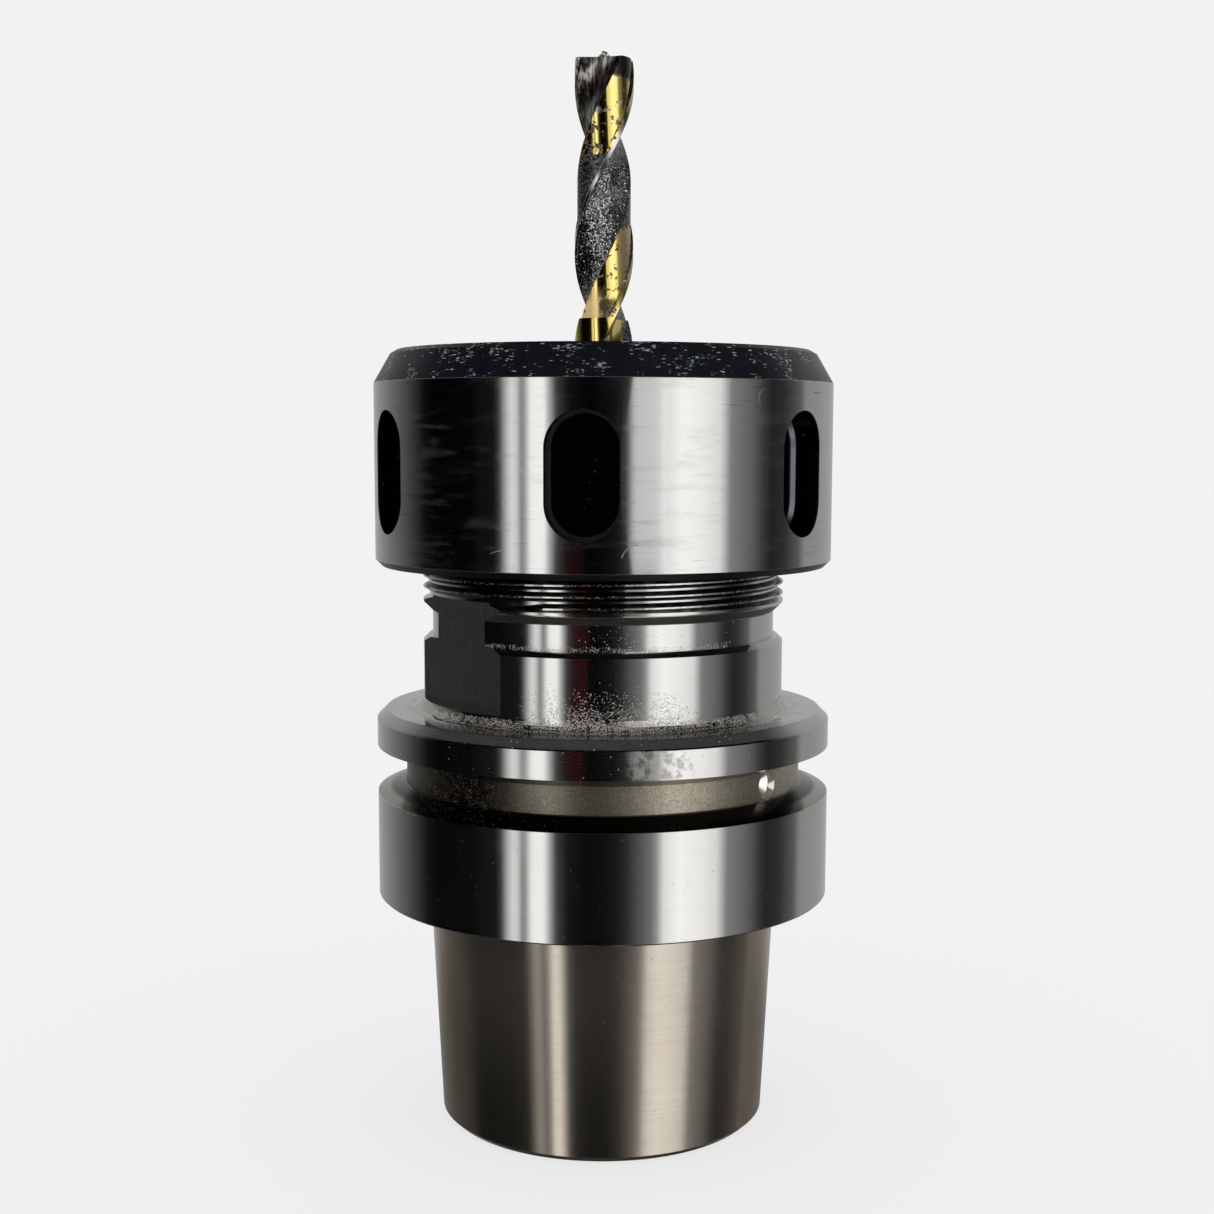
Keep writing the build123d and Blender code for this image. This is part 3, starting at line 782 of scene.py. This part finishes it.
def ridge(name, profile, start, end, size, fade, material, shape=None):
    """Thread ridge: a closed profile of (radius, height) points carried up a right-hand helix.

    A point of the profile, turned by angle a from the start, stands at its own radius, and at its height plus
    the pitch times a over a full turn. Near both ends the profile sinks to its root, over the angle fade. An
    optional shape function moves the finished points."""
    turns = (end - start) / size.pitch
    steps = int(turns * POINTS_PER_TURN) + 1
    wound = np.linspace(0, turns * FULL_TURN, steps)[:, None]
    points = np.asarray(profile)[None, :, :]
    root = points[0, 0, 0]
    strength = np.clip(np.minimum(wound, wound[-1] - wound) / fade, 0, 1)
    reach = root + (points[..., 0] - root) * strength
    lift = start + size.pitch * wound / FULL_TURN + points[..., 1] * (END_SHARE + (1 - END_SHARE) * strength)
    way = wound + size.start_turn
    grid = np.stack([reach * np.cos(way), reach * np.sin(way), lift], axis=-1)
    if shape is not None:
        grid = shape(grid)
    count = points.shape[1]
    row, column = np.meshgrid(np.arange(steps - 1), np.arange(count), indexing="ij")
    beside = (column + 1) % count
    near = row * count
    far = near + count
    faces = np.stack([near + column, near + beside, far + beside, far + column], axis=-1).reshape(-1, 4)
    caps = [list(range(count - 1, -1, -1)), list(range((steps - 1) * count, steps * count))]
    mesh = bpy.data.meshes.new(name)
    mesh.from_pydata(grid.reshape(-1, 3).tolist(), [], faces.tolist() + caps)
    mesh.materials.append(material)
    mesh.validate()
    made = bpy.data.objects.new(name, mesh)
    bpy.context.scene.collection.objects.link(made)
    return made


class CHUCK_OT_neck_thread(bpy.types.Operator):
    """Cuts the outside thread on the neck"""

    bl_idname = "chuck.neck_thread"
    bl_label = "Neck thread"

    def execute(self, context):
        size = context.scene.chuck_thread
        sunk = size.root_radius - SUNK
        crest_half = size.pitch * CREST_SHARE
        root_half = crest_half + (size.crest_radius - sunk) * FLANK_SLOPE
        profile = [
            (sunk, -root_half),
            (size.crest_radius, -crest_half),
            (size.crest_radius, crest_half),
            (sunk, root_half),
        ]
        limit = size.flat_across / 2 - UNDER_FLAT
        way = np.array([math.cos(size.flat_turn), math.sin(size.flat_turn)])

        def cut_flats(grid):
            """Profiles below the top of the flats are pressed on to them where they stand out past them."""
            out = grid[..., :2] @ way
            below = grid[..., 2].mean(axis=1, keepdims=True) < size.flat_top
            over = np.sign(out) * np.clip(np.abs(out) - limit, 0, None) * below
            cut = grid.copy()
            cut[..., :2] -= over[..., None] * way
            return cut

        material = steel_of_the_thread(context.scene.chuck_finish)
        made = ridge("neck_thread", profile, size.start, size.end, size, NECK_FADE, material, cut_flats)
        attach(made, "holder")
        return {"FINISHED"}


class CHUCK_OT_nut_thread(bpy.types.Operator):
    """Cuts the inside thread of the clamping nut"""

    bl_idname = "chuck.nut_thread"
    bl_label = "Nut thread"

    def execute(self, context):
        size = context.scene.chuck_thread
        wall = size.crest_radius + size.play
        tip = size.root_radius + size.play
        sunk = wall + SUNK
        tip_half = size.pitch * CREST_SHARE
        root_half = tip_half + (sunk - tip) * FLANK_SLOPE
        profile = [(sunk, root_half), (tip, tip_half), (tip, -tip_half), (sunk, -root_half)]
        # The ridge starts at the outside one's angle, whole turns and half a pitch higher, so in its gaps
        higher = math.ceil((NUT_BOTTOM * MM + NUT_ENTRY - size.start) / size.pitch)
        start = size.start + (higher + 0.5) * size.pitch
        end = start + NUT_TURNS * size.pitch
        material = steel_of_the_thread(context.scene.chuck_finish)
        made = ridge("nut_thread", profile, start, end, size, NUT_FADE, material)
        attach(made, "nut")
        return {"FINISHED"}


class CHUCK_OT_holder_finish(bpy.types.Operator):
    """Gives the holder body its ground and stained steel"""

    bl_idname = "chuck.holder_finish"
    bl_label = "Holder finish"

    def execute(self, context):
        dress(["holder_body"], steel_of_the_holder(context.scene.chuck_finish))
        return {"FINISHED"}


class CHUCK_OT_nut_finish(bpy.types.Operator):
    """Gives the clamping nut its ground band and black oxide"""

    bl_idname = "chuck.nut_finish"
    bl_label = "Nut finish"

    def execute(self, context):
        dress(["clamping_nut"], steel_of_the_nut(context.scene.chuck_finish))
        return {"FINISHED"}


class CHUCK_OT_cutter_finish(bpy.types.Operator):
    """Gives the cutter its nitride coat and burnt flutes"""

    bl_idname = "chuck.cutter_finish"
    bl_label = "Cutter finish"

    def execute(self, context):
        dress(["cutter"], steel_of_the_cutter(context.scene.chuck_finish))
        return {"FINISHED"}


class CHUCK_OT_collet_finish(bpy.types.Operator):
    """Gives the collet and the thrust ring their steels"""

    bl_idname = "chuck.collet_finish"
    bl_label = "Collet finish"

    def execute(self, context):
        # Spring steel, ground: a clean, light grey satin
        ground = small_steel("spring steel, ground", "#C6C5C0", "#7E7B75", 0.2, 0.32, 3.0, 0.3)
        dress(["collet"], ground)
        # Bearing steel, phosphated: dark grey with a dull shine
        phosphated = small_steel("bearing steel, phosphated", "#55565A", "#2C2D30", 0.3, 0.42, 2.5, 0.4)
        dress(["thrust_ring"], phosphated)
        return {"FINISHED"}


class CHUCK_OT_bearing_finish(bpy.types.Operator):
    """Gives the balls, their cage and the retaining clip their steels"""

    bl_idname = "chuck.bearing_finish"
    bl_label = "Bearing finish"

    def execute(self, context):
        # Bearing steel, lapped: as bright as a mirror
        balls = [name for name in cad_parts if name.startswith("ball_") and name != "ball_cage"]
        lapped = small_steel("bearing steel, lapped", "#D9D9D8", "#A9A9A8", 0.04, 0.09, 0.8)
        dress(balls, lapped)
        # Sheet steel, stamped: dull grey with rolling marks
        stamped = small_steel("sheet steel, stamped", "#A8A6A1", "#6F6C66", 0.28, 0.4, 2.0, 0.2)
        dress(["ball_cage"], stamped)
        # Spring steel, blued: dark, with a blue cast
        blued = small_steel("spring steel, blued", "#4A4F5C", "#24262E", 0.22, 0.34, 2.0, 0.25)
        dress(["retaining_clip"], blued)
        return {"FINISHED"}


# Studio light by direction: degrees round the chuck from the camera, positive to the right, and an sRGB
# level. Two tall strips of light stand at the left and a wide one at the right, with dark flags between them
LEFT_BANDS = [
    (-180, 150),
    (-160, 140),
    (-138, 118),
    (-120, 86),
    (-108, 54),
    (-98, 14),
    (-90, 3),
    (-67, 4),
    (-62, 14),
    (-54, 14),
    (-51, 56),
    (-48.5, 150),
    (-45, 214),
    (-42, 198),
    (-40, 118),
    (-38, 146),
    (-35, 238),
    (-29, 241),
    (-26, 160),
    (-23, 56),
    (-17, 14),
    (-6, 3),
    (0, 9),
]
RIGHT_BANDS = [
    (0, 9),
    (6, 16),
    (12, 40),
    (18, 78),
    (24, 108),
    (27, 148),
    (30, 220),
    (38, 245),
    (48, 236),
    (58, 216),
    (64, 122),
    (76, 94),
    (84, 54),
    (90, 32),
    (100, 46),
    (112, 84),
    (118, 130),
    (150, 140),
    (180, 150),
]
# A strip of light is this much brighter than the sRGB level that bright steel shows of it
LIGHT_OVER_STEEL = 1.6
# The floor's radius and how far it lies under the part, in metres, and its corners
FLOOR_R = 6.0
FLOOR_DROP = 0.0001
FLOOR_CORNERS = 96


class CHUCK_OT_stage(bpy.types.Operator):
    """Sets up the floor, the studio light and the camera"""

    bl_idname = "chuck.stage"
    bl_label = "Stage"

    def execute(self, context):
        scene = context.scene
        studio = scene.chuck_studio
        scene.view_settings.view_transform = "Standard"
        self.light(scene, studio)
        self.floor(scene, studio)
        self.camera(scene, studio)
        return {"FINISHED"}

    def strips(self, tree, degrees):
        """Colour of the strips and flags by their direction."""
        halves = []
        for bands in (LEFT_BANDS, RIGHT_BANDS):
            low, high = bands[0][0], bands[-1][0]
            ends = {"Value": degrees, "From Min": float(low), "From Max": float(high)}
            at = put(tree, "MapRange", ends).outputs[0]
            stops = [((way - low) / (high - low), grey(level)) for way, level in bands]
            halves.append(put(tree, "ValToRGB", {0: at}, stops).outputs[0])
        right = put(tree, "Math", {0: degrees, 1: 0.0}, operation="GREATER_THAN").outputs[0]
        return paint(tree, halves[0], (right, halves[1]))

    def light(self, scene, studio):
        """Even light for matt surfaces, strips and flags for shiny ones, the backdrop for the camera."""
        world = bpy.data.worlds.new("studio")
        world.use_nodes = True
        world.cycles.sampling_method = "NONE"
        tree = world.node_tree
        tree.nodes.clear()
        way = put(tree, "SeparateXYZ", {0: put(tree, "TexCoord").outputs["Generated"]})
        lift = way.outputs[2]
        ahead = total(tree, 0.0, (way.outputs[1], -1.0))
        round_about = put(tree, "Math", {0: way.outputs[0], 1: ahead}, operation="ARCTAN2").outputs[0]
        turned = put(tree, "Math", {0: round_about, 1: studio.turn}, operation="SUBTRACT").outputs[0]
        degrees = put(tree, "Math", {0: turned}, operation="DEGREES").outputs[0]
        aside = put(tree, "Math", {0: degrees}, operation="ABSOLUTE").outputs[0]
        # The card over the right strip lights the nut alone, a little nearer the camera
        card = mask(tree, *band(degrees, 14.0, 30.0, 1.2), (lift, -0.1, -0.07))
        # A dark red patch lies left of the camera, below the nut's height
        patch = mask(tree, *band(degrees, -20.0, -9.5, 1.2), *band(lift, -0.2, -0.08, 0.03))
        # The outer left strip ends above the floor, so the taper shows it weakly
        short = mask(tree, *band(degrees, -52.0, -34.5, 1.5), (lift, -0.36, -0.3, 0.6, 0.0))
        # Low down behind the chuck, overhead and underneath, the room is dark
        behind = mask(tree, (aside, 94.0, 124.0), (lift, -0.34, -0.28, 0.55, 0.0))
        overhead = mask(tree, (lift, 0.4, 0.7))
        under = mask(tree, (lift, -0.75, -0.48, 0.8, 0.0))
        dome = paint(
            tree,
            self.strips(tree, degrees),
            (card, grey(250), 0.52),
            (patch, linear("#2C0C10"), 0.7),
            (short, grey(60)),
            (behind, grey(30)),
            (overhead, grey(9)),
            (under, grey(14)),
        )
        mirror = put(tree, "Background", {"Color": dome, "Strength": LIGHT_OVER_STEEL}).outputs[0]
        even = put(tree, "Background", {"Color": grey(255), "Strength": 1.0}).outputs[0]
        plain = put(tree, "Background", {"Color": studio.backdrop, "Strength": 1.0}).outputs[0]
        ray = put(tree, "LightPath")
        lit = put(tree, "MixShader", {0: ray.outputs["Is Glossy Ray"], 1: even, 2: mirror}).outputs[0]
        seen = put(tree, "MixShader", {0: ray.outputs["Is Camera Ray"], 1: lit, 2: plain}).outputs[0]
        put(tree, "OutputWorld", {"Surface": seen})
        scene.world = world

    def floor(self, scene, studio):
        """Round floor: a flat disc, its rim's points at the radius times the cosine and sine of even angles.

        It is left out of mirror images, as a dark bench would be, so that the taper shows the strips of light
        down to its end."""
        # Matt paint: one pale, even tone without shine, that keeps the shadow
        made, tree, shader = start_material("floor, matt paint")
        base = paint(tree, studio.backdrop, (clouds(tree, in_mm(tree), 400.0, 1.0), grey(230), 0.004))
        tree.links.new(base, shader.inputs["Base Color"])
        shader.inputs["Roughness"].default_value = 1.0
        shader.inputs["Specular IOR Level"].default_value = 0.0
        glow = put(tree, "Emission", {"Color": studio.backdrop, "Strength": 1.0}).outputs[0]
        seen = mask(tree, put(tree, "LightPath").outputs["Is Camera Ray"], 0.8)
        both = put(tree, "MixShader", {0: seen, 1: shader.outputs[0], 2: glow}).outputs[0]
        output = next(node for node in tree.nodes if node.type == "OUTPUT_MATERIAL")
        tree.links.new(both, output.inputs["Surface"])
        turn = np.linspace(0, FULL_TURN, FLOOR_CORNERS, endpoint=False)
        depth = np.full(FLOOR_CORNERS, -FLOOR_DROP)
        rim = np.stack([FLOOR_R * np.cos(turn), FLOOR_R * np.sin(turn), depth], axis=-1)
        mesh = bpy.data.meshes.new("floor")
        mesh.from_pydata(rim.tolist(), [], [list(range(FLOOR_CORNERS))])
        mesh.materials.append(made)
        ground = bpy.data.objects.new("floor", mesh)
        scene.collection.objects.link(ground)
        ground.visible_glossy = False

    def camera(self, scene, studio):
        """Camera level with the nut, close in, with a small turn, pan and roll as the photograph has them."""
        data = bpy.data.cameras.new("camera")
        data.sensor_width = 36.0
        data.lens = studio.lens
        data.shift_y = studio.rise
        data.clip_start = 0.01
        eye = bpy.data.objects.new("camera", data)
        where = (
            studio.distance * math.sin(studio.turn),
            -studio.distance * math.cos(studio.turn),
            studio.height,
        )
        eye.matrix_world = (
            Matrix.Translation(where)
            @ Matrix.Rotation(studio.turn - studio.pan, 4, "Z")
            @ Matrix.Rotation(math.pi / 2 - studio.tilt, 4, "X")
            @ Matrix.Rotation(studio.roll, 4, "Z")
        )
        scene.collection.objects.link(eye)
        scene.camera = eye


class CHUCK_PT_panel(bpy.types.Panel):
    """Lists the sizes, colours and steps"""

    bl_idname = "CHUCK_PT_panel"
    bl_label = "Collet chuck"
    bl_space_type = "VIEW_3D"
    bl_region_type = "UI"
    bl_category = "Collet chuck"

    def draw(self, context):
        for group in (context.scene.chuck_thread, context.scene.chuck_finish, context.scene.chuck_studio):
            box = self.layout.box()
            for name in group.__annotations__:
                box.prop(group, name)
        for step in STEPS:
            self.layout.operator(step.bl_idname)


GROUPS = {"chuck_thread": ChuckThread, "chuck_finish": ChuckFinish, "chuck_studio": ChuckStudio}
STEPS = (
    CHUCK_OT_neck_thread,
    CHUCK_OT_nut_thread,
    CHUCK_OT_holder_finish,
    CHUCK_OT_nut_finish,
    CHUCK_OT_cutter_finish,
    CHUCK_OT_collet_finish,
    CHUCK_OT_bearing_finish,
    CHUCK_OT_stage,
)


def register():
    for kind in (*GROUPS.values(), *STEPS, CHUCK_PT_panel):
        bpy.utils.register_class(kind)
    for name, kind in GROUPS.items():
        setattr(bpy.types.Scene, name, bpy.props.PointerProperty(type=kind))


def unregister():
    for name in GROUPS:
        delattr(bpy.types.Scene, name)
    for kind in reversed((*GROUPS.values(), *STEPS, CHUCK_PT_panel)):
        bpy.utils.unregister_class(kind)


def main():
    """Runs the steps in order."""
    register()
    bpy.ops.chuck.neck_thread()
    bpy.ops.chuck.nut_thread()
    bpy.ops.chuck.holder_finish()
    bpy.ops.chuck.nut_finish()
    bpy.ops.chuck.cutter_finish()
    bpy.ops.chuck.collet_finish()
    bpy.ops.chuck.bearing_finish()
    bpy.ops.chuck.stage()


if __name__ == "__main__":
    main()
